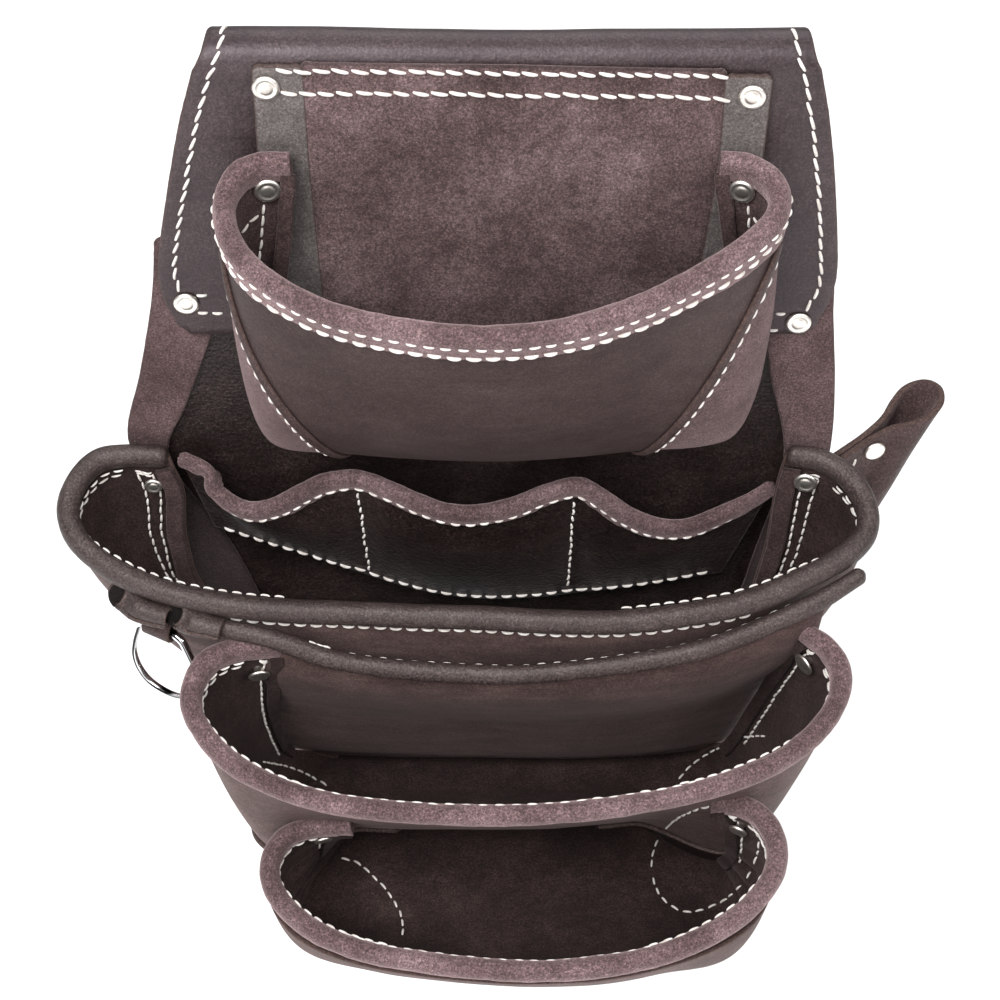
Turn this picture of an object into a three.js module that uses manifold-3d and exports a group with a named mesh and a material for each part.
// Leather tool pouch that hangs on a belt: stacked open pockets on a flat back panel, a folded belt
// tunnel on top, a scalloped inner tool strip, a slip pocket, two rolled tool loops, a steel hammer
// loop in a leather keeper and a folded tool holster at the right side.
// Millimetres. +X is the right side seen from the front, -Y is the front, +Z is up.
// Pieces are modelled with z = 0 at the pouch bottom; the group is lowered to put the belt at z = 0.
import * as THREE from "three";
import { mergeVertices } from "three/addons/utils/BufferGeometryUtils.js";
import Module from "manifold-3d";

// ---------------------------------------------------------------- driving dimensions
const BELT_HEIGHT = 292; // belt centre line above the pouch bottom
const LEATHER = 2.6; // main leather thickness
const SUEDE = 2.3; // wings, corner pieces and upper pocket back
const SLIP_LEATHER = 2.0; // slip pocket panel
const STRIP_LEATHER = 1.8; // inner tool strip
const HOLSTER_LEATHER = 2.4;
const GAP = 0.3; // clearance between neighbouring plies
const CLEAR = 0.28; // margin a trimmed piece keeps from its neighbour

// The flat plies, stacked from the back panel's rear face (y = 0) towards the front.
const BACK_THICKNESS = 2.6;
const WING_REAR_Y = -BACK_THICKNESS - GAP;
const APRON_REAR_Y = WING_REAR_Y - SUEDE - GAP; // rear face of the apron's front ply
const APRON_FRONT_Y = APRON_REAR_Y - LEATHER;
const TOP_BACK_REAR_Y = APRON_FRONT_Y - GAP; // upper pocket back and its straps
const STRAP_FRONT_Y = TOP_BACK_REAR_Y - LEATHER;
const BACK_BOTTOM = -4;
const WING_BOTTOM = BACK_BOTTOM + 4;

const APRON_TOP = 342.5; // top of the fold
const FOLD_RISE = 9;
const FOLD_Z = APRON_TOP - FOLD_RISE; // where the fold starts to turn
const TUNNEL_DEPTH = 7.5; // room behind the back panel for a belt
const APRON_TAIL_Y = TUNNEL_DEPTH + LEATHER; // outer face of the rear ply at the tunnel
const APRON_TOE_Y = GAP + LEATHER; // outer face of the rear ply where it meets the back panel
const APRON_BOTTOM = 222;

const SLIP_BOTTOM = 84; // foot of the slip panel, under the second pocket

const RIVET_CAP_R = 4.6;
const SMALL_CAP_R = 3.8;
const RIVET_SHANK_R = 1.6;
const RIVET_HOLE_R = 2.0;

const FRONT = new THREE.Vector3(0, -1, 0);
const UP = new THREE.Vector3(0, 0, 1);

const MATERIALS = {
  smooth: { color: 0x3d3032, roughness: 0.5, metalness: 0 }, // dark grain leather
  suede: { color: 0x5f4a49, roughness: 0.9, metalness: 0 }, // matt, lighter leather
  piping: { color: 0x4a403f, roughness: 0.45, metalness: 0 }, // rolled edges and tool loops
  nickel: { color: 0xc9c5bf, roughness: 0.25, metalness: 1 }, // rivets
  steel: { color: 0xd8d8da, roughness: 0.15, metalness: 1 }, // polished hammer loop
};

// ---------------------------------------------------------------- rim tables, rows of [x, y, z]
// Pocket mouths: left rear corner -> front -> right rear corner.
const TOP_RIM = [
  [-67.5, -15.5, 307], [-80, -16.5, 306.5], [-86.5, -21, 305], [-90, -29.5, 301.5],
  [-88.5, -41, 297.5], [-82, -52, 293.5], [-70, -61.5, 290], [-53.5, -69.5, 287],
  [-34.5, -74.5, 285.5], [-14.5, -77.5, 284.5], [5, -77.5, 284.5], [24.5, -74, 285.5],
  [43.5, -67.5, 288], [61.5, -58.5, 291.5], [79, -47, 295.5], [89, -37, 299],
  [91.5, -29, 302], [89, -22, 304.5], [81.5, -16.5, 306.5], [71, -15, 307],
];
const MAIN_RIM = [
  [-124, -11.5, 168.5], [-139, -11.5, 169], [-150, -13, 167.5], [-157, -21.5, 165],
  [-159.5, -32.5, 161.5], [-155.5, -43.5, 158], [-144, -54, 154.5], [-127.5, -62.5, 152],
  [-106.5, -68, 150], [-83.5, -71, 149], [-58.5, -72.5, 149], [-32, -73.5, 148.5],
  [-6, -74.5, 148.5], [19.5, -76, 148], [44, -76, 148], [67, -73.5, 149],
  [89, -69, 150.5], [109, -61, 153.5], [126.5, -51, 156.5], [134.5, -42, 159.5],
  [135, -32, 163], [129.5, -21, 166.5], [119, -13.5, 169], [107, -11.5, 169.5],
];
const SECOND_RIM = [
  [-80, -74.5, 133.5], [-96, -76.5, 133.5], [-106, -81.5, 132.5], [-110.5, -89, 130],
  [-111, -98.5, 127], [-105.5, -108.5, 123.5], [-94.5, -119, 120], [-79.5, -126.5, 117],
  [-61.5, -131.5, 114.5], [-41, -134, 113], [-19, -135, 112], [3, -135, 111.5],
  [25.5, -133, 111], [47.5, -130, 111.5], [68.5, -125.5, 112], [88, -119, 113.5],
  [104, -111, 115.5], [116, -100.5, 118.5], [123.5, -89, 122], [124.5, -79, 125.5],
  [120, -70.5, 128.5], [112, -64, 130.5],
];
const THIRD_RIM = [
  [-55, -113, 76], [-71, -113, 74.5], [-80, -116, 72.5], [-84.5, -122.5, 69.5],
  [-84.5, -131, 67], [-78, -141.5, 64], [-66, -151, 62.5], [-49, -158.5, 62],
  [-28, -163.5, 62.5], [-4.5, -167.5, 64], [17.5, -169.5, 66], [38.5, -169, 68.5],
  [58, -166, 71.5], [76.5, -159.5, 75.5], [90.5, -150.5, 80], [98.5, -140.5, 84.5],
  [100, -131, 87.5], [96, -121, 90.5], [88, -115, 91.5], [77.5, -113, 91],
];
// Slip pocket and tool strip edges: left -> right.
const SLIP_RIM = [
  [-110, -71, 140.5], [-97, -73.5, 139.5], [-83, -76, 137.5], [-63, -79, 130.5],
  [-41.5, -80.5, 126.5], [-18, -81, 124.5], [5.5, -82, 124.5], [29.5, -82.5, 128],
  [52.5, -81.5, 131.5], [75.5, -79, 136], [98, -72, 141], [118, -64, 146.5], [133, -56, 151.5],
];
const STRIP_RIM = [
  [-119.5, -11.5, 165.5], [-110, -13.5, 159.5], [-106, -14.5, 147.5], [-96, -16.5, 141],
  [-84.5, -18.5, 145], [-74.5, -20, 153], [-65, -21.5, 160.5], [-52.5, -23, 163.5],
  [-41, -24, 159], [-30, -24.5, 152.5], [-18.5, -25, 148], [-5.5, -25, 148],
  [6.5, -24.5, 151.5], [17.5, -24, 157.5], [29.5, -23.5, 160], [39, -22.5, 152],
  [48, -21.5, 143], [58.5, -20, 136], [70.5, -18, 133], [82.5, -15.5, 136.5],
  [93, -13.5, 142.5], [103.5, -11, 150],
];
const STRIP_BOTTOM = [
  [-110, -9, 125.5], [-94.5, -9.5, 119], [-78, -10, 112.5], [-56.5, -10.5, 101.5],
  [-41.5, -11, 95.5], [-28, -11, 90.5], [-14, -11, 87.5], [0, -11, 86.5], [24, -11, 88.5],
  [39.5, -10.5, 91], [55.5, -10.5, 94], [71, -10, 97], [87, -9.5, 100],
];

// ---------------------------------------------------------------- small maths
const vec = ([x, y, z]) => new THREE.Vector3(x, y, z);
const curveThrough = (points, closed = false) =>
  new THREE.CatmullRomCurve3(points.map(vec), closed, "centripetal");
const lerp = (a, b, t) => a + (b - a) * t;
const clamp = (x, low, high) => Math.min(high, Math.max(low, x));
const smooth = (from, to, x) => {
  const t = clamp((x - from) / (to - from), 0, 1);
  return t * t * (3 - 2 * t);
};

// ---------------------------------------------------------------- closed mesh builders
function signedVolume(positions, faces) {
  let volume = 0;
  const corner = (i) => new THREE.Vector3().fromArray(positions, faces[i] * 3);
  for (let i = 0; i < faces.length; i += 3) {
    volume += corner(i).dot(corner(i + 1).cross(corner(i + 2))) / 6;
  }
  return volume;
}

// Turns the faces over if they wind inwards.
function facingOut(positions, faces) {
  if (signedVolume(positions, faces) >= 0) return faces;
  const flipped = [];
  for (let i = 0; i < faces.length; i += 3) flipped.push(faces[i], faces[i + 2], faces[i + 1]);
  return flipped;
}

function geometryFrom(points, faces) {
  const positions = new Float32Array(points.length * 3);
  points.forEach((point, i) => point.toArray(positions, i * 3));
  const geometry = new THREE.BufferGeometry();
  geometry.setAttribute("position", new THREE.BufferAttribute(positions, 3));
  geometry.setIndex(facingOut(positions, faces));
  return geometry;
}

// A closed sheet between two matching grids of points [i][j].
function sheetSolid(gridA, gridB) {
  const columns = gridA.length, rows = gridA[0].length;
  const faces = [];
  const id = (side, i, j) => (side * columns + i) * rows + j;
  const quad = (a, b, c, d) => faces.push(a, b, c, a, c, d);
  for (let i = 0; i < columns - 1; i++) {
    for (let j = 0; j < rows - 1; j++) {
      quad(id(0, i, j), id(0, i + 1, j), id(0, i + 1, j + 1), id(0, i, j + 1));
      quad(id(1, i, j), id(1, i, j + 1), id(1, i + 1, j + 1), id(1, i + 1, j));
    }
  }
  const lastI = columns - 1, lastJ = rows - 1;
  for (let i = 0; i < lastI; i++) {
    quad(id(0, i + 1, 0), id(0, i, 0), id(1, i, 0), id(1, i + 1, 0));
    quad(id(0, i, lastJ), id(0, i + 1, lastJ), id(1, i + 1, lastJ), id(1, i, lastJ));
  }
  for (let j = 0; j < lastJ; j++) {
    quad(id(0, 0, j), id(0, 0, j + 1), id(1, 0, j + 1), id(1, 0, j));
    quad(id(0, lastI, j + 1), id(0, lastI, j), id(1, lastI, j), id(1, lastI, j + 1));
  }
  return geometryFrom([...gridA.flat(), ...gridB.flat()], faces);
}

function gridNormals(grid) {
  const lastI = grid.length - 1, lastJ = grid[0].length - 1;
  return grid.map((row, i) => row.map((_, j) => {
    const alongI = grid[Math.min(i + 1, lastI)][j].clone().sub(grid[Math.max(i - 1, 0)][j]);
    const alongJ = row[Math.min(j + 1, lastJ)].clone().sub(row[Math.max(j - 1, 0)]);
    return alongI.cross(alongJ).normalize();
  }));
}

const offsetGrid = (grid, normals, distance) =>
  grid.map((row, i) => row.map((p, j) => p.clone().addScaledVector(normals[i][j], distance)));

// A sheet of even thickness with the grid as its mid surface.
function thickSheet(grid, normals, thickness) {
  const half = thickness / 2;
  return sheetSolid(offsetGrid(grid, normals, half), offsetGrid(grid, normals, -half));
}

// Faces joining each ring to the next; a looped sweep also joins the last to the first.
function sweepFaces(ringCount, size, looped) {
  const faces = [];
  const steps = looped ? ringCount : ringCount - 1;
  for (let i = 0; i < steps; i++) {
    const start = i * size, next = ((i + 1) % ringCount) * size;
    for (let k = 0; k < size; k++) {
      const k2 = (k + 1) % size;
      faces.push(start + k, start + k2, next + k2, start + k, next + k2, next + k);
    }
  }
  return faces;
}

// Triangulates a flat end ring in its own plane.
function endFaces(ring, firstIndex, flip) {
  const origin = ring[0];
  const normal = new THREE.Vector3();
  ring.forEach((point, k) => {
    const next = ring[(k + 1) % ring.length];
    normal.add(point.clone().sub(origin).cross(next.clone().sub(origin)));
  });
  normal.normalize();
  const axisX = ring[1].clone().sub(origin).normalize(), axisY = normal.clone().cross(axisX);
  const flat = ring.map((point) => {
    const offset = point.clone().sub(origin);
    return new THREE.Vector2(offset.dot(axisX), offset.dot(axisY));
  });
  return THREE.ShapeUtils.triangulateShape(flat, []).flatMap((triangle) => {
    const [a, b, c] = triangle.map((k) => firstIndex + k);
    return flip ? [a, c, b] : [a, b, c];
  });
}

// A solid swept through matching rings of points, with flat ends.
function ringSolid(rings) {
  const size = rings[0].length, last = rings.length - 1;
  const faces = [
    ...sweepFaces(rings.length, size, false),
    ...endFaces(rings[0], 0, true),
    ...endFaces(rings[last], last * size, false),
  ];
  return geometryFrom(rings.flat(), faces);
}

// An open-bored tube from rings of outer points and matching rings of inner points.
function tubeSolid(outer, inner) {
  const size = outer[0].length, count = outer.length, last = count - 1;
  const faces = [];
  const out = (i, k) => i * size + (k % size);
  const bore = (i, k) => count * size + out(i, k);
  const quad = (a, b, c, d) => faces.push(a, b, c, a, c, d);
  for (let i = 0; i < last; i++) {
    for (let k = 0; k < size; k++) {
      quad(out(i, k), out(i, k + 1), out(i + 1, k + 1), out(i + 1, k));
      faces.push(bore(i, k), bore(i + 1, k + 1), bore(i, k + 1));
      faces.push(bore(i, k), bore(i + 1, k), bore(i + 1, k + 1));
    }
  }
  for (let k = 0; k < size; k++) {
    faces.push(out(0, k), bore(0, k + 1), out(0, k + 1));
    faces.push(out(0, k), bore(0, k), bore(0, k + 1));
    quad(out(last, k), out(last, k + 1), bore(last, k + 1), bore(last, k));
  }
  return geometryFrom([...outer.flat(), ...inner.flat()], faces);
}

function rod(center, direction, radius, length, sides = 12) {
  const geometry = new THREE.CylinderGeometry(radius, radius, length, sides);
  geometry.applyQuaternion(turnYTo(direction));
  geometry.translate(center.x, center.y, center.z);
  return geometry;
}

function turnYTo(direction) {
  const yAxis = new THREE.Vector3(0, 1, 0);
  return new THREE.Quaternion().setFromUnitVectors(yAxis, direction);
}

// A flat sheet standing in the XZ plane, from an outline of [x, z]; thickness runs to -Y.
function flatSheet(outline, rearY, thickness) {
  const shape = new THREE.Shape(outline.map(([x, z]) => new THREE.Vector2(x, z)));
  const options = { depth: thickness, bevelEnabled: false, steps: 1 };
  const geometry = new THREE.ExtrudeGeometry(shape, options);
  geometry.rotateX(Math.PI / 2); // (x, y, z) -> (x, -z, y)
  geometry.translate(0, rearY, 0);
  return geometry;
}

// Rounds the corners of a closed outline; radii is one number or one per corner.
function roundCorners(outline, radii, steps) {
  const count = outline.length;
  return outline.flatMap((point, i) => {
    const corner = new THREE.Vector2(...point);
    const toLast = new THREE.Vector2(...outline[(i + count - 1) % count]).sub(corner);
    const toNext = new THREE.Vector2(...outline[(i + 1) % count]).sub(corner);
    const radius = Array.isArray(radii) ? radii[i] : radii;
    const reach = Math.min(radius, toLast.length() * 0.45, toNext.length() * 0.45);
    const start = corner.clone().add(toLast.setLength(reach));
    const end = corner.clone().add(toNext.setLength(reach));
    return Array.from({ length: steps + 1 }, (_, k) => {
      const t = k / steps;
      const bezier = (a, b, c) => (1 - t) * (1 - t) * a + 2 * t * (1 - t) * b + t * t * c;
      return [bezier(start.x, corner.x, end.x), bezier(start.y, corner.y, end.y)];
    });
  });
}

// ---------------------------------------------------------------- solids and trimming
const wasm = await Module();
wasm.setup();

function toManifold(geometry) {
  const bare = geometry.clone();
  for (const key of Object.keys(bare.attributes)) {
    if (key !== "position") bare.deleteAttribute(key);
  }
  const merged = mergeVertices(bare, 1e-4);
  return new wasm.Manifold(new wasm.Mesh({
    numProp: 3,
    vertProperties: new Float32Array(merged.attributes.position.array),
    triVerts: new Uint32Array(merged.index.array),
  }));
}

function fromManifold(solid) {
  const mesh = solid.getMesh(), stride = mesh.numProp;
  const positions = new Float32Array(mesh.numVert * 3);
  for (let i = 0; i < mesh.numVert; i++) {
    positions.set(mesh.vertProperties.subarray(i * stride, i * stride + 3), i * 3);
  }
  const geometry = new THREE.BufferGeometry();
  geometry.setAttribute("position", new THREE.BufferAttribute(positions, 3));
  geometry.setIndex(new THREE.BufferAttribute(new Uint32Array(mesh.triVerts), 1));
  return geometry;
}

const pieces = new Map(); // name -> { geometry, material }
const keepOut = new Map(); // name -> slightly enlarged copies that neighbours must stay out of

function add(name, geometry, material) {
  pieces.set(name, { geometry, material });
}

// Cuts a piece back from its neighbours and keeps its largest body.
function trim(name, others) {
  const piece = pieces.get(name);
  let solid = toManifold(piece.geometry);
  const alreadyApart = (other) =>
    pieces.has(other) && !other.startsWith("rivet") &&
    solid.intersect(toManifold(pieces.get(other).geometry)).volume() < 1e-4;
  for (const other of others) {
    if (alreadyApart(other)) continue;
    for (const cutter of keepOut.get(other)) solid = solid.subtract(toManifold(cutter));
  }
  // not every manifold-3d version has simplify
  if (solid.simplify) solid = solid.simplify(0.01);
  const bodies = solid.decompose().sort((a, b) => b.volume() - a.volume());
  piece.geometry = fromManifold(bodies[0]);
}

// ---------------------------------------------------------------- back panel, wings and straps
function addFlat({ name, outline, radii, steps, rearY, thickness, material }) {
  add(name, flatSheet(roundCorners(outline, radii, steps), rearY, thickness), material);
}

// Outlines below are rows of [x, z].
function addBackPanel() {
  const outline = [
    [-94, BACK_BOTTOM], [92, BACK_BOTTOM], [108, 60], [116, 120], [121, 165], [115, 262],
    [101, 327], [-97, 329], [-115, 262], [-134, 165], [-118, 120], [-108, 60],
  ];
  const radii = [22, 22, 10, 8, 8, 8, 8, 8, 8, 8, 8, 10];
  const sheet = { rearY: 0, thickness: BACK_THICKNESS, material: "smooth" };
  addFlat({ name: "back_panel", outline, radii, steps: 4, ...sheet });
}

function addWings() {
  const left = [
    [-88, WING_BOTTOM], [-106, 60], [-117, 120], [-136, 158], [-139, 168], [-130.5, 201],
    [-122, 239], [-119, 262], [-97, 262], [-101, 230], [-116, 186], [-126, 158],
    [-106, 110], [-78, WING_BOTTOM],
  ];
  const right = [
    [78, WING_BOTTOM], [100, 100], [108, 158], [99, 201], [94, 232], [92, 262], [114, 262],
    [118.5, 225], [122.5, 190], [123.5, 163], [116, 120], [107, 60], [90, WING_BOTTOM],
  ];
  const wing = {
    radii: 3, steps: 2, rearY: WING_REAR_Y, thickness: SUEDE, material: "suede",
  };
  addFlat({ name: "wing_left", outline: left, ...wing });
  addFlat({ name: "wing_right", outline: right, ...wing });
}

function addTopPocketBack() {
  const outline = [
    [-60, 178], [56, 178], [68, 250], [72.2, 300],
    [72.2, 333], [-63.2, 336.5], [-63.2, 300], [-62, 250],
  ];
  const radii = [10, 10, 2, 2, 2, 2, 2, 2];
  const sheet = { rearY: TOP_BACK_REAR_Y, thickness: SUEDE, material: "suede" };
  addFlat({ name: "top_pocket_back", outline, radii, steps: 3, ...sheet });
}

function addTopStraps() {
  const left = [
    [-70, 190], [-61, 190], [-62.6, 250], [-63.8, 300], [-63.8, 336.4],
    [-83, 336.6], [-83.5, 300], [-86, 262], [-82, 206],
  ];
  const right = [
    [58.5, 190], [68, 190], [80, 206], [87, 262], [89.5, 300],
    [90, 332.4], [72.8, 333], [72.8, 300], [68.8, 250],
  ];
  const strap = {
    radii: 2, steps: 2, rearY: TOP_BACK_REAR_Y, thickness: LEATHER, material: "smooth",
  };
  addFlat({ name: "top_strap_left", outline: left, ...strap });
  addFlat({ name: "top_strap_right", outline: right, ...strap });
}

// ---------------------------------------------------------------- belt tunnel apron
// Side edges: rows of [z, left x, right x].
const APRON_EDGES = [
  [APRON_BOTTOM, -110, 108], [229, -117, 114.5], [238, -119.5, 117.5], [250, -119, 117.2],
  [268, -115.5, 115], [290, -110.5, 111.8], [310, -105.8, 108.5], [328, -101.5, 105.5],
  [342, -98, 103.5], [351, -93, 99],
];
const APRON_REAR_WIDTH = 0.985; // width of the rear ply relative to the front ply

function apronEdge(z, column, rear) {
  const height = clamp(z, APRON_EDGES[0][0], APRON_EDGES.at(-1)[0]);
  let k = 0;
  while (k < APRON_EDGES.length - 2 && height > APRON_EDGES[k + 1][0]) k++;
  const low = APRON_EDGES[k], high = APRON_EDGES[k + 1];
  const t = clamp((height - low[0]) / (high[0] - low[0]), 0, 1);
  const x = lerp(low[column], high[column], t);
  return rear ? x * APRON_REAR_WIDTH : x;
}

// Outside face as (y, z): up the front ply, over the fold, down the rear ply to its toe.
function apronProfile() {
  const points = [APRON_BOTTOM, 229, 238, 250, 268, 300, 320, FOLD_Z].map((z) => [APRON_FRONT_Y, z]);
  const centreY = (APRON_FRONT_Y + APRON_TAIL_Y) / 2, radiusY = (APRON_TAIL_Y - APRON_FRONT_Y) / 2;
  for (let k = 1; k < 6; k++) {
    const angle = (k / 6) * Math.PI;
    points.push([centreY - radiusY * Math.cos(angle), FOLD_Z + FOLD_RISE * Math.sin(angle)]);
  }
  for (const z of [FOLD_Z, 300, 262]) points.push([APRON_TAIL_Y, z]);
  points.push([APRON_TAIL_Y - 3.2, 252], [APRON_TOE_Y, 244.5], [APRON_TOE_Y, APRON_BOTTOM]);
  return points.map(([y, z]) => new THREE.Vector2(y, z));
}

function addApron() {
  const columns = 3;
  const profile = apronProfile(), last = profile.length - 1;
  const normals = profile.map((_, j) => {
    const along = profile[Math.min(j + 1, last)].clone().sub(profile[Math.max(j - 1, 0)]);
    along.normalize();
    return new THREE.Vector2(-along.y, along.x);
  });
  const outside = [], inside = [];
  for (let i = 0; i <= columns; i++) {
    const across = profile.map(({ y: z }, j) => {
      const rear = j > profile.length / 2;
      return lerp(apronEdge(z, 1, rear), apronEdge(z, 2, rear), i / columns);
    });
    const column = (depth) => profile.map((p, j) => new THREE.Vector3(
      across[j], p.x - normals[j].x * depth, p.y - normals[j].y * depth));
    outside.push(column(0));
    inside.push(column(LEATHER));
  }
  add("belt_tunnel_apron", sheetSolid(outside, inside), "smooth");
}

// ---------------------------------------------------------------- pocket surfaces
// Returns surface(u, v): u runs round the mouth, v from the mouth down to the seam behind.
// keepLeft, keepRight: width left at the bottom, about centreX; ease and early say how soon it
// narrows. roundness: power of the turn under into the bottom seam. frontLean, sideLean: how far
// the wall leans back going down. rimDrop: wall edge below the rim. behind(x, z): front of the
// piece the pocket is sewn to, with spacing(z) to it.
function pocketSurface({
  rim, bottomZ, keepLeft, keepRight, centreX, ease, early, roundness,
  frontLean, sideLean, rimDrop, behind, spacing,
}) {
  const mouth = curveThrough(rim);
  mouth.arcLengthDivisions = 400;
  const left = vec(rim[0]), right = vec(rim.at(-1));
  const narrowed = (x, v, tuck) => {
    const keep = lerp(keepLeft, keepRight, smooth(-60, 60, x - centreX));
    const share = early * (1 - Math.pow(1 - v, ease)) + (1 - early) * tuck;
    return lerp(x, centreX + (x - centreX) * keep, share);
  };
  return (u, v) => {
    const edge = mouth.getPointAt(clamp(u, 0, 1));
    const tuck = 1 - Math.pow(Math.max(0, 1 - Math.pow(v, roundness)), 1 / roundness);
    const z = lerp(edge.z - rimDrop, bottomZ, v), x = narrowed(edge.x, v, tuck);
    const fromEnd = Math.min(u, 1 - u);
    const lean = lerp(sideLean, frontLean, smooth(0.12, 0.32, fromEnd));
    const cornerY = lerp(left.y, right.y, u);
    let rearY = cornerY;
    if (behind) {
      const backX = clamp(x, narrowed(left.x, v, tuck), narrowed(right.x, v, tuck));
      rearY = lerp(cornerY, behind(backX, z) - spacing(z), smooth(0, 0.14, v));
    }
    const cornerShift = (1 - smooth(0, 0.12, fromEnd)) * (rearY - cornerY);
    const frontY = edge.y - lean * v * (edge.y - cornerY) + cornerShift;
    return new THREE.Vector3(x, lerp(frontY, rearY, tuck), z);
  };
}

// Returns (x, z) -> y on the front of a pocket surface, found by damped Newton steps.
// leftX and rightX are the pocket's sides, used for the first guess.
function frontOf(surface, leftX, rightX) {
  const iterations = 26, step = 0.004, damping = 0.7;
  const known = new Map();
  return (x, z) => {
    const key = x.toFixed(2) + "," + z.toFixed(2);
    if (known.has(key)) return known.get(key);
    let u = clamp(0.16 + (0.7 * (x - leftX)) / (rightX - leftX), 0.14, 0.88), v = 0.3;
    for (let k = 0; k < iterations; k++) {
      const point = surface(u, v);
      const perU = surface(u + step, v).sub(point).divideScalar(step);
      const perV = surface(u, v + step).sub(point).divideScalar(step);
      const det = perU.x * perV.z - perU.z * perV.x;
      const dx = x - point.x, dz = z - point.z;
      u = clamp(u + damping * ((dx * perV.z - dz * perV.x) / det), 0.13, 0.88);
      v = clamp(v + damping * ((perU.x * dz - perU.z * dx) / det), 0.0, 0.95);
    }
    const { y } = surface(u, v);
    known.set(key, y);
    return y;
  };
}

const topSurface = pocketSurface({
  rim: TOP_RIM, bottomZ: 182, keepLeft: 0.86, keepRight: 0.86, centreX: -2, ease: 1.0,
  early: 0.1, roundness: 3.0, frontLean: 0.42, sideLean: 0.15, rimDrop: 4.0,
});
const mainSurface = pocketSurface({
  rim: MAIN_RIM, bottomZ: 0, keepLeft: 0.6, keepRight: 0.74, centreX: -8, ease: 2.0,
  early: 0.8, roundness: 2.8, frontLean: 0.5, sideLean: 0.5, rimDrop: 4.2,
});
const mainFront = frontOf(mainSurface, -140, 125);
const secondSurface = pocketSurface({
  rim: SECOND_RIM, bottomZ: 9, keepLeft: 0.74, keepRight: 0.7, centreX: 4, ease: 1.0,
  early: 0.85, roundness: 3.4, frontLean: 0.95, sideLean: 0.0, rimDrop: 4.0, behind: mainFront,
  // stands further off where the slip panel lies between
  spacing: (z) => LEATHER + 0.6 + 3.0 * smooth(SLIP_BOTTOM - 8, SLIP_BOTTOM, z),
});
const secondFront = frontOf(secondSurface, -110, 118);
const thirdSurface = pocketSurface({
  rim: THIRD_RIM, bottomZ: 16, keepLeft: 0.86, keepRight: 0.8, centreX: 6, ease: 1.0,
  early: 0.6, roundness: 3.6, frontLean: 0.35, sideLean: 0.0, rimDrop: 4.0,
  behind: secondFront, spacing: () => LEATHER + 0.8,
});

// ---------------------------------------------------------------- shells and edge bindings
// Samples a surface, with rows closer together at the bottom; from and to limit u and may vary with v.
function sampleGrid(surface, columns, rows, from = 0, to = 1) {
  const limit = (value, v) => (typeof value === "function" ? value(v) : value);
  return Array.from({ length: columns + 1 }, (_, i) =>
    Array.from({ length: rows + 1 }, (_, j) => {
      const v = 1 - Math.pow(1 - j / rows, 1.25);
      return surface(lerp(limit(from, v), limit(to, v), i / columns), v);
    }));
}

// A sheet grown by CLEAR on both faces, both side edges and the top edge.
function fatSheet(grid, normals, thickness) {
  const grown = grid.map((row) => row.map((point) => point.clone()));
  const grow = (i, j, innerI, innerJ) =>
    grown[i][j].add(grid[i][j].clone().sub(grid[innerI][innerJ]).setLength(CLEAR));
  const lastI = grid.length - 1;
  grid[0].forEach((_, j) => {
    grow(0, j, 1, j);
    grow(lastI, j, lastI - 1, j);
  });
  grid.forEach((_, i) => grow(i, 0, i, 1));
  const half = thickness / 2 + CLEAR;
  return sheetSolid(offsetGrid(grown, normals, half), offsetGrid(grown, normals, -half));
}

// Adds a leather shell and returns its sampled grid.
function addShell({ name, surface, columns, rows, thickness, material, from, to }) {
  const grid = sampleGrid(surface, columns, rows, from, to);
  const normals = gridNormals(grid);
  add(name, thickSheet(grid, normals, thickness), material);
  keepOut.set(name, [fatSheet(grid, normals, thickness)]);
  return grid;
}

// A folded channel over the upper edge of a wall, built on the wall's own grid.
// radius: half its width; drop: how far it reaches down the wall; thinEnds: width factor at the
// ends. Section points are [across the wall, down the wall].
function addBinding({ name, grid, thickness, radius, drop, material, thinEnds = 1 }) {
  const shoulder = -1.2; // where the sides turn into the arch
  const archHeight = 0.92; // arch rise relative to the half width
  const minSkin = 0.7;
  const arch = (halfWidth, rise) => [1, 2, 3].map((m) => {
    const angle = (m / 4) * Math.PI;
    return [halfWidth * Math.cos(angle), shoulder - rise * Math.sin(angle)];
  });
  const last = grid.length - 1;
  const lengths = [0];
  for (let i = 1; i <= last; i++) {
    lengths.push(lengths[i - 1] + grid[i][0].distanceTo(grid[i - 1][0]));
  }
  const rings = [], fatRings = [];
  for (let i = 0; i <= last; i++) {
    const edge = grid[i][0];
    const along = grid[Math.min(i + 1, last)][0].clone().sub(grid[Math.max(i - 1, 0)][0]);
    along.normalize();
    const wallDown = grid[i][1].clone().sub(edge).normalize();
    const normal = along.clone().cross(wallDown).normalize();
    wallDown.copy(normal.clone().cross(along)).normalize();
    const place = (section, shift) => section.map(([across, down]) =>
      edge.clone()
        .addScaledVector(normal, across)
        .addScaledVector(wallDown, down)
        .addScaledVector(along, shift));

    const fromEnd = Math.min(lengths[i], lengths[last] - lengths[i]);
    const inner = thickness / 2 + GAP;
    const outer = Math.max(inner + minSkin, radius * lerp(thinEnds, 1, smooth(4, 26, fromEnd)));
    rings.push(place([
      [inner, -GAP], [inner, drop], [outer, drop], [outer, shoulder],
      ...arch(outer, outer * archHeight),
      [-outer, shoulder], [-outer, drop], [-inner, drop], [-inner, -GAP],
    ], 0));

    const fat = outer + CLEAR;
    const shift = i === 0 ? -CLEAR : i === last ? CLEAR : 0;
    fatRings.push(place([
      [fat, drop + CLEAR], [fat, shoulder],
      ...arch(fat, fat),
      [-fat, shoulder], [-fat, drop + CLEAR],
    ], shift));
  }
  add(name, ringSolid(rings), material);
  keepOut.set(name, [ringSolid(fatRings)]);
}

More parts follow.
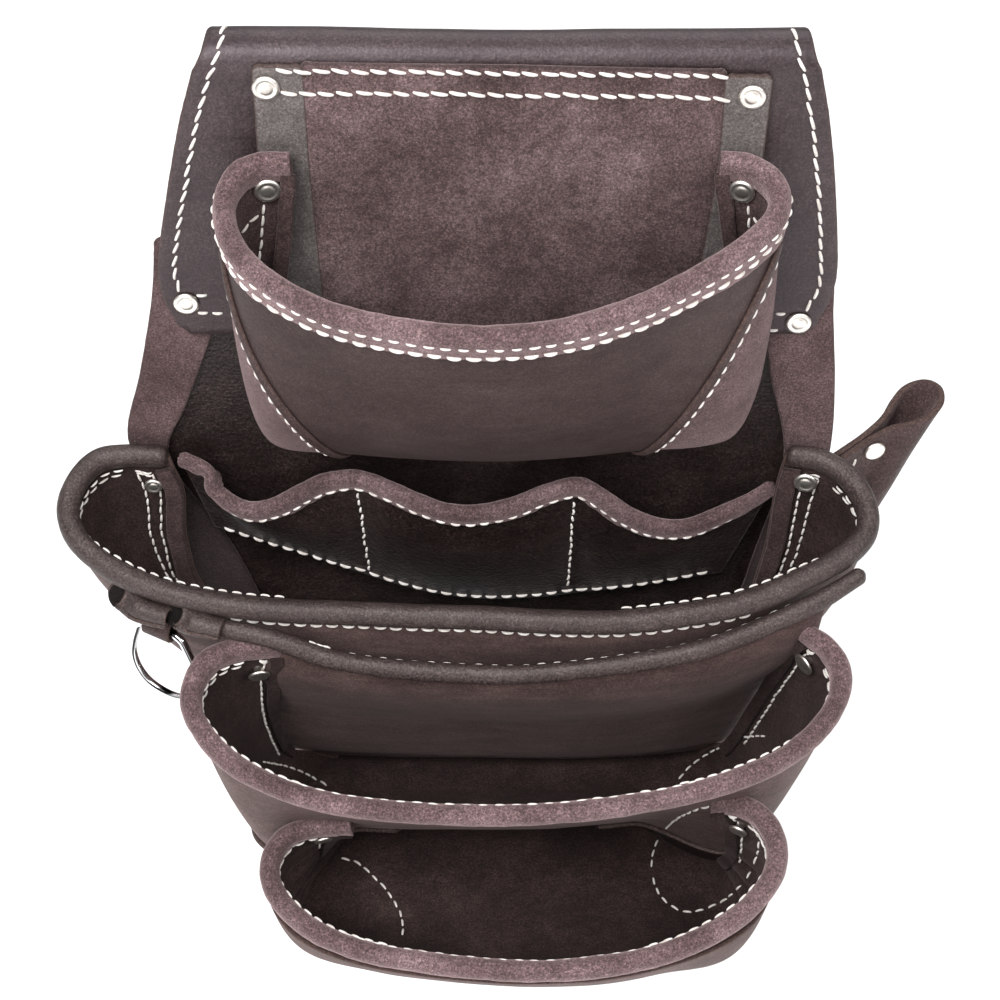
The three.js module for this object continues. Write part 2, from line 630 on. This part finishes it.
// ---------------------------------------------------------------- pockets
// The smooth face narrows downwards between two diagonal seams, with a suede corner each side.
function addTopPocket() {
  const seamLeft = (v) => 0.135 + 0.155 * Math.pow(v, 0.85);
  const seamRight = (v) => 0.865 - 0.15 * Math.pow(v, 0.85);
  const halfSeam = 0.0012; // half the seam gap, in u
  const corner = {
    surface: topSurface, columns: 8, rows: 6, thickness: SUEDE, material: "suede",
  };
  const left = addShell({
    name: "top_pocket_corner_left", ...corner, from: 0.006, to: (v) => seamLeft(v) - halfSeam,
  });
  const face = addShell({
    name: "top_pocket_face", surface: topSurface, columns: 12, rows: 6,
    thickness: LEATHER, material: "smooth",
    from: (v) => seamLeft(v) + halfSeam, to: (v) => seamRight(v) - halfSeam,
  });
  const right = addShell({
    name: "top_pocket_corner_right", ...corner, from: (v) => seamRight(v) + halfSeam, to: 0.994,
  });
  addBinding({
    name: "top_pocket_binding", grid: [...left, ...face.slice(1, -1), ...right],
    thickness: LEATHER, radius: 3.4, drop: 4.0, material: "suede", thinEnds: 0.75,
  });
}

function addMainPocket() {
  const grid = addShell({
    name: "main_pocket_wall", surface: mainSurface, columns: 30, rows: 8,
    thickness: LEATHER, material: "smooth",
  });
  addBinding({
    name: "main_pocket_piping", grid, thickness: LEATHER, radius: 4.0, drop: 3.4,
    material: "piping", thinEnds: 0.8,
  });
}

// A panel lying on the front of the main wall.
function addSlipPocket() {
  const rim = curveThrough(SLIP_RIM);
  const rimDrop = 3.4, bottomWidth = 0.96, wallGap = 0.45;
  const surface = (u, v) => {
    const edge = rim.getPointAt(clamp(u, 0, 1));
    const z = lerp(edge.z - rimDrop, SLIP_BOTTOM, v), x = lerp(edge.x, edge.x * bottomWidth, v);
    const wallY = mainFront(x, z) - LEATHER * 0.5 - SLIP_LEATHER / 2 - wallGap;
    const freeY = Math.min(edge.y + 3 * v, wallY - 0.4);
    return new THREE.Vector3(x, lerp(freeY, wallY, smooth(0, 0.6, v)), z);
  };
  addShell({
    name: "slip_pocket_panel", surface, columns: 18, rows: 5,
    thickness: SLIP_LEATHER, material: "smooth", from: 0.03, to: 0.9,
  });
  addBinding({
    name: "slip_pocket_piping", grid: sampleGrid(surface, 22, 5), thickness: SLIP_LEATHER,
    radius: 3.1, drop: 1.6, material: "piping",
  });
}

function addFrontPocket(place, surface, columns, rows) {
  const grid = addShell({
    name: `${place}_pocket_wall`, surface, columns, rows, thickness: LEATHER, material: "smooth",
  });
  addBinding({
    name: `${place}_pocket_binding`, grid, thickness: LEATHER, radius: 3.6, drop: 3.6,
    material: "suede", thinEnds: 0.62,
  });
}

// ---------------------------------------------------------------- scalloped inner tool strip
function addToolStrip() {
  const top = curveThrough(STRIP_RIM), bottom = curveThrough(STRIP_BOTTOM);
  const bulge = 3.5; // towards the front at mid height
  const surface = (u, v) => {
    const point = top.getPointAt(clamp(u, 0, 1)).lerp(bottom.getPointAt(clamp(u, 0, 1)), v);
    point.y -= bulge * Math.sin(Math.PI * v) * Math.sin(Math.PI * u);
    return point;
  };
  const grid = addShell({
    name: "inner_tool_strip", surface, columns: 30, rows: 3,
    thickness: STRIP_LEATHER, material: "smooth",
  });
  addBinding({
    name: "inner_tool_strip_rim", grid, thickness: STRIP_LEATHER, radius: 2.9, drop: 1.8,
    material: "suede", thinEnds: 0.7,
  });
}

// ---------------------------------------------------------------- rolled tool loops
// A tube along a path, tapering towards the path's end; squash flattens it in height.
function addRolledLoop({ name, path, outerR, innerR, squash }) {
  const steps = 4, sides = 10, endScale = 0.78;
  const centreLine = curveThrough(path);
  const outer = [], inner = [];
  for (let i = 0; i <= steps; i++) {
    const t = i / steps;
    const centre = centreLine.getPointAt(t), along = centreLine.getTangentAt(t);
    const across = along.clone().cross(UP).normalize();
    const upward = across.clone().cross(along).normalize();
    const scale = lerp(1, endScale, smooth(0.15, 1, t));
    const ring = (radius) => Array.from({ length: sides }, (_, k) => {
      const angle = (k / sides) * 2 * Math.PI;
      return centre.clone()
        .addScaledVector(across, radius * scale * Math.cos(angle))
        .addScaledVector(upward, radius * scale * squash * Math.sin(angle));
    });
    outer.push(ring(outerR));
    inner.push(ring(innerR));
  }
  add(name, tubeSolid(outer, inner), "piping");
}

// Both lie along the left front of the main wall, the outer one further left.
function addToolLoops() {
  addRolledLoop({
    name: "tool_loop_outer", outerR: 3.6, innerR: 2.2, squash: 0.9,
    path: [[-141.5, -61, 140.8], [-136, -65, 140.4], [-129.5, -68.6, 140], [-124.8, -70.6, 140]],
  });
  addRolledLoop({
    name: "tool_loop_inner", outerR: 4.0, innerR: 2.7, squash: 0.85,
    path: [[-122.6, -71.6, 140.4], [-118, -73.2, 140.4], [-114.6, -74.2, 140.4]],
  });
}

// ---------------------------------------------------------------- hammer loop and its keeper
const WIRE_R = 1.6;
const HINGE_CENTRE = new THREE.Vector3(-125.5, -64.8, 127.5); // middle of the wire's straight bar
const HINGE_ALONG = new THREE.Vector3(0.88, -0.475, 0).normalize();
const HINGE_OUT = HINGE_ALONG.clone().cross(UP).normalize(); // away from the wall

// A point given in the hinge's own frame.
const hingePoint = (along, up, out = 0) =>
  HINGE_CENTRE.clone()
    .addScaledVector(HINGE_ALONG, along)
    .addScaledVector(UP, up)
    .addScaledVector(HINGE_OUT, out);

// Closed wire: straight bar on the hinge axis, arms that open out and a round bottom.
function addHammerLoop() {
  const stations = [ // [along the bar, up]
    [-7, 0], [0, 0], [7, 0], [9.6, -1.6], [11, -5], [13.4, -13], [14.6, -21], [13.2, -28.5],
    [8.8, -34.5], [0, -37], [-8.8, -34.5], [-13.2, -28.5], [-14.6, -21], [-13.4, -13],
    [-11, -5], [-9.6, -1.6],
  ];
  const points = stations.map(([along, up]) => hingePoint(along, up).toArray());
  const centreLine = curveThrough(points, true);
  const steps = 40, sides = 6;
  const rings = Array.from({ length: steps }, (_, i) => {
    const centre = centreLine.getPointAt(i / steps);
    const across = centreLine.getTangentAt(i / steps).cross(HINGE_OUT).normalize();
    return Array.from({ length: sides }, (_, k) => {
      const angle = (k / sides) * 2 * Math.PI;
      return centre.clone()
        .addScaledVector(HINGE_OUT, WIRE_R * Math.cos(angle))
        .addScaledVector(across, WIRE_R * Math.sin(angle));
    });
  });
  add("hammer_loop", geometryFrom(rings.flat(), sweepFaces(steps, sides, true)), "steel");
}

// A leather tab folded round the bar, its tail going up the wall.
function addHammerLoopKeeper() {
  const halfWidth = 5.6, tail = 7.6;
  const boreR = WIRE_R + 0.35, outerR = boreR + 1.5;
  const tailFront = -outerR + 3.2;
  const section = [[-outerR, tail], [-outerR, 0]]; // [out, up]
  for (let k = 1; k < 8; k++) {
    const angle = Math.PI + (k / 8) * Math.PI;
    section.push([outerR * Math.cos(angle), outerR * Math.sin(angle)]);
  }
  section.push([outerR, 0], [outerR, 1.4], [outerR - 1.6, 3.6], [tailFront, 5.2], [tailFront, tail]);
  const hole = Array.from({ length: 10 }, (_, k) => {
    const angle = (k / 10) * 2 * Math.PI;
    return [boreR * Math.cos(angle), boreR * Math.sin(angle)];
  });
  const prism = (outline, half) => toManifold(ringSolid(
    [-half, half].map((along) => outline.map(([out, up]) => hingePoint(along, up, out)))));
  const keeper = prism(section, halfWidth).subtract(prism(hole, halfWidth + 2));
  add("hammer_loop_keeper", fromManifold(keeper), "smooth");
}

// ---------------------------------------------------------------- folded side tool holster
function addToolHolster() {
  // centre line of the folded strip in plan: rear ply -> round bulb -> front ply,
  // as [out from the wing, towards the rear]
  const plan = [
    [0, 1.6], [8, 1.6], [16, 1.8], [24, 3.2], [30, 6.6], [36.5, 8.6], [42.2, 6.2], [44.6, 0],
    [42.2, -6.2], [36.5, -8.6], [30, -6.6], [24, -3.2], [16, -1.8], [8, -1.6], [0, -1.6],
  ];
  const columns = 20, rows = 4;
  const topX = 125.0, rootY = -4.6, topZ = 154.5, bottomZ = 112;
  const bottomShift = 8.5; // the root moves this far left going down
  const topRise = 0.5; // top edge rise per millimetre outwards
  const swing = 0.42; // radians the strip swings back as it leaves the wing
  const bottomReach = 0.62, bottomDepth = 0.72; // plan scale at the bottom
  const centreLine = curveThrough(plan.map(([out, back]) => [out, back, 0]));
  const grid = Array.from({ length: columns + 1 }, (_, i) => {
    const station = centreLine.getPointAt(i / columns);
    return Array.from({ length: rows + 1 }, (_, j) => {
      const v = j / rows;
      const out = station.x * lerp(1, bottomReach, Math.pow(v, 0.9));
      const back = station.y * lerp(1, bottomDepth, v);
      return new THREE.Vector3(
        topX - bottomShift * v + out * Math.cos(swing) - back * Math.sin(swing),
        rootY + out * Math.sin(swing) + back * Math.cos(swing),
        lerp(topZ + station.x * topRise, bottomZ, v),
      );
    });
  });
  add("tool_holster", thickSheet(grid, gridNormals(grid), HOLSTER_LEATHER), "smooth");
}

// ---------------------------------------------------------------- rivets
// Cap, shank and burr in one piece. centre: a point on the outer surface; outward: unit vector;
// grip: total thickness joined; standoff: gap under cap and burr; through: pieces it pierces.
function addRivet({ name, centre, outward, grip, capR = RIVET_CAP_R, standoff = 0.15, through }) {
  const burrR = capR * 0.8, burrTop = -grip - standoff, burrEnd = -grip - 0.9;
  const profile = [ // [radius, height], cap centre -> burr centre
    [0, 1.1], [capR * 0.5, 1.0], [capR * 0.78, 1.3], [capR, 0.7 + standoff * 0.5],
    [capR, standoff], [RIVET_SHANK_R, standoff], [RIVET_SHANK_R, burrTop],
    [burrR, burrTop], [burrR, burrEnd], [0, burrEnd],
  ];
  const lathe = new THREE.LatheGeometry(profile.map(([r, h]) => new THREE.Vector2(r, h)), 10);
  lathe.deleteAttribute("normal");
  lathe.deleteAttribute("uv");
  const geometry = mergeVertices(lathe, 1e-4);
  // drop the collapsed triangles at the poles
  const faces = [], source = geometry.index.array;
  for (let i = 0; i < source.length; i += 3) {
    const [a, b, c] = source.slice(i, i + 3);
    if (a !== b && b !== c && a !== c) faces.push(a, b, c);
  }
  geometry.setIndex(facingOut(geometry.attributes.position.array, faces));
  geometry.applyQuaternion(turnYTo(outward));
  geometry.translate(centre.x, centre.y, centre.z);
  add(name, geometry, "nickel");

  const capRoom = 3.2, burrRoom = 1.5;
  const at = (height) => centre.clone().addScaledVector(outward, height);
  keepOut.set(name, [
    rod(at(standoff + capRoom / 2 - CLEAR), outward, capR + CLEAR, capRoom),
    rod(at(burrTop - burrRoom / 2 + CLEAR), outward, burrR + CLEAR, burrRoom),
    rod(at(-grip / 2), outward, RIVET_HOLE_R, grip + 4, 8),
  ]);
  for (const piece of through) trim(piece, [name]);
}

// From the apron's front face to the outer face of its rear ply.
function addApronRivets() {
  for (const [side, x, z] of [["left", -110.5, 236.5], ["right", 106, 227.5]]) {
    addRivet({
      name: `rivet_apron_${side}`, centre: new THREE.Vector3(x, APRON_FRONT_Y, z),
      outward: FRONT, grip: APRON_TOE_Y - APRON_FRONT_Y,
      through: ["belt_tunnel_apron", `wing_${side}`, "back_panel"],
    });
  }
}

// The strap burrs are sunk in the back panel, short of its rear face.
function addStrapRivets() {
  const gripEndY = -1.1;
  for (const [side, x, z] of [["left", -75.6, 329.5], ["right", 81.6, 326]]) {
    addRivet({
      name: `rivet_strap_${side}_upper`, centre: new THREE.Vector3(x, STRAP_FRONT_Y, z),
      outward: FRONT, grip: gripEndY - STRAP_FRONT_Y,
      through: ["belt_tunnel_apron", `top_strap_${side}`, "back_panel"],
    });
  }
}

// One rivet in each rear corner of a pocket, cap to the front.
// inset: u from the corner; down: v below the mouth; slack: grip beyond the thickness.
function addCornerRivets({ place, surface, inset, down, thickness, slack, capR, pierced }) {
  const step = 0.002;
  for (const [side, u] of [["left", inset], ["right", 1 - inset]]) {
    const centre = surface(u, down);
    const alongU = surface(u + step, down).sub(surface(u - step, down));
    const alongV = surface(u, down + step).sub(surface(u, down - step));
    const outward = alongU.cross(alongV).normalize();
    if (outward.dot(FRONT) < 0) outward.negate();
    centre.addScaledVector(outward, thickness / 2);
    addRivet({
      name: `rivet_${place}_${side}`, centre, outward, grip: thickness + slack, capR,
      standoff: 0.55, through: [pierced(side)],
    });
  }
}

function addPocketRivets() {
  addCornerRivets({
    place: "top_pocket", surface: topSurface, inset: 0.05, down: 0.085,
    thickness: SUEDE, slack: 0.6, pierced: (side) => `top_pocket_corner_${side}`,
  });
  addCornerRivets({
    place: "main", surface: mainSurface, inset: 0.028, down: 0.075,
    thickness: LEATHER, slack: 0.6, pierced: () => "main_pocket_wall",
  });
  addCornerRivets({
    place: "second", surface: secondSurface, inset: 0.03, down: 0.1,
    thickness: LEATHER, slack: 0.5, pierced: () => "second_pocket_wall",
  });
  addCornerRivets({
    place: "third", surface: thirdSurface, inset: 0.035, down: 0.15,
    thickness: LEATHER, slack: 0.5, capR: SMALL_CAP_R, pierced: () => "third_pocket_wall",
  });
}

// ---------------------------------------------------------------- trimming of neighbouring plies
// The tunnel's rear ply is sewn into a shallow pressed band across the back panel's rear face.
function addToeBand() {
  const outline = [[-150, 219], [150, 219], [150, 249], [-150, 249]];
  keepOut.set("toe_band", [flatSheet(outline, 0.9, 1.25)]);
}

// [piece, what it is cut back from], in the order of cutting.
const TRIMS = [
  ["back_panel", ["toe_band"]],
  ["main_pocket_piping", ["main_pocket_wall"]],
  ["slip_pocket_panel", [
    "main_pocket_wall", "second_pocket_wall", "second_pocket_binding",
    "rivet_second_left", "rivet_second_right",
  ]],
  ["slip_pocket_piping", ["slip_pocket_panel", "second_pocket_binding"]],
  ["second_pocket_binding", ["second_pocket_wall"]],
  ["third_pocket_wall", ["second_pocket_wall"]],
  ["third_pocket_binding", ["third_pocket_wall", "second_pocket_wall"]],
  ["second_pocket_wall", ["rivet_third_left", "rivet_third_right", "main_pocket_wall"]],
  ["main_pocket_wall", ["rivet_second_left", "rivet_second_right"]],
  ["inner_tool_strip", ["main_pocket_wall"]],
  ["inner_tool_strip_rim", ["inner_tool_strip", "main_pocket_wall"]],
  ["top_pocket_binding", [
    "top_pocket_face", "top_pocket_corner_left", "top_pocket_corner_right",
  ]],
  ["top_pocket_corner_left", ["top_pocket_face"]],
  ["top_pocket_corner_right", ["top_pocket_face"]],
];

// ---------------------------------------------------------------- assembly
addBackPanel();
addWings();
addApron();
addTopPocketBack();
addTopStraps();
addTopPocket();
addMainPocket();
addSlipPocket();
addFrontPocket("second", secondSurface, 28, 8);
addFrontPocket("third", thirdSurface, 26, 7);
addToolStrip();
addToolLoops();
addHammerLoop();
addHammerLoopKeeper();
addToolHolster();
addApronRivets();
addStrapRivets();
addPocketRivets();
addToeBand();
for (const [name, others] of TRIMS) trim(name, others);

const group = new THREE.Group();
group.position.set(0, 0, -BELT_HEIGHT);
for (const [name, { geometry, material }] of pieces) {
  const mesh = new THREE.Mesh(geometry, new THREE.MeshStandardMaterial(MATERIALS[material]));
  mesh.name = name;
  group.add(mesh);
}
export default group;
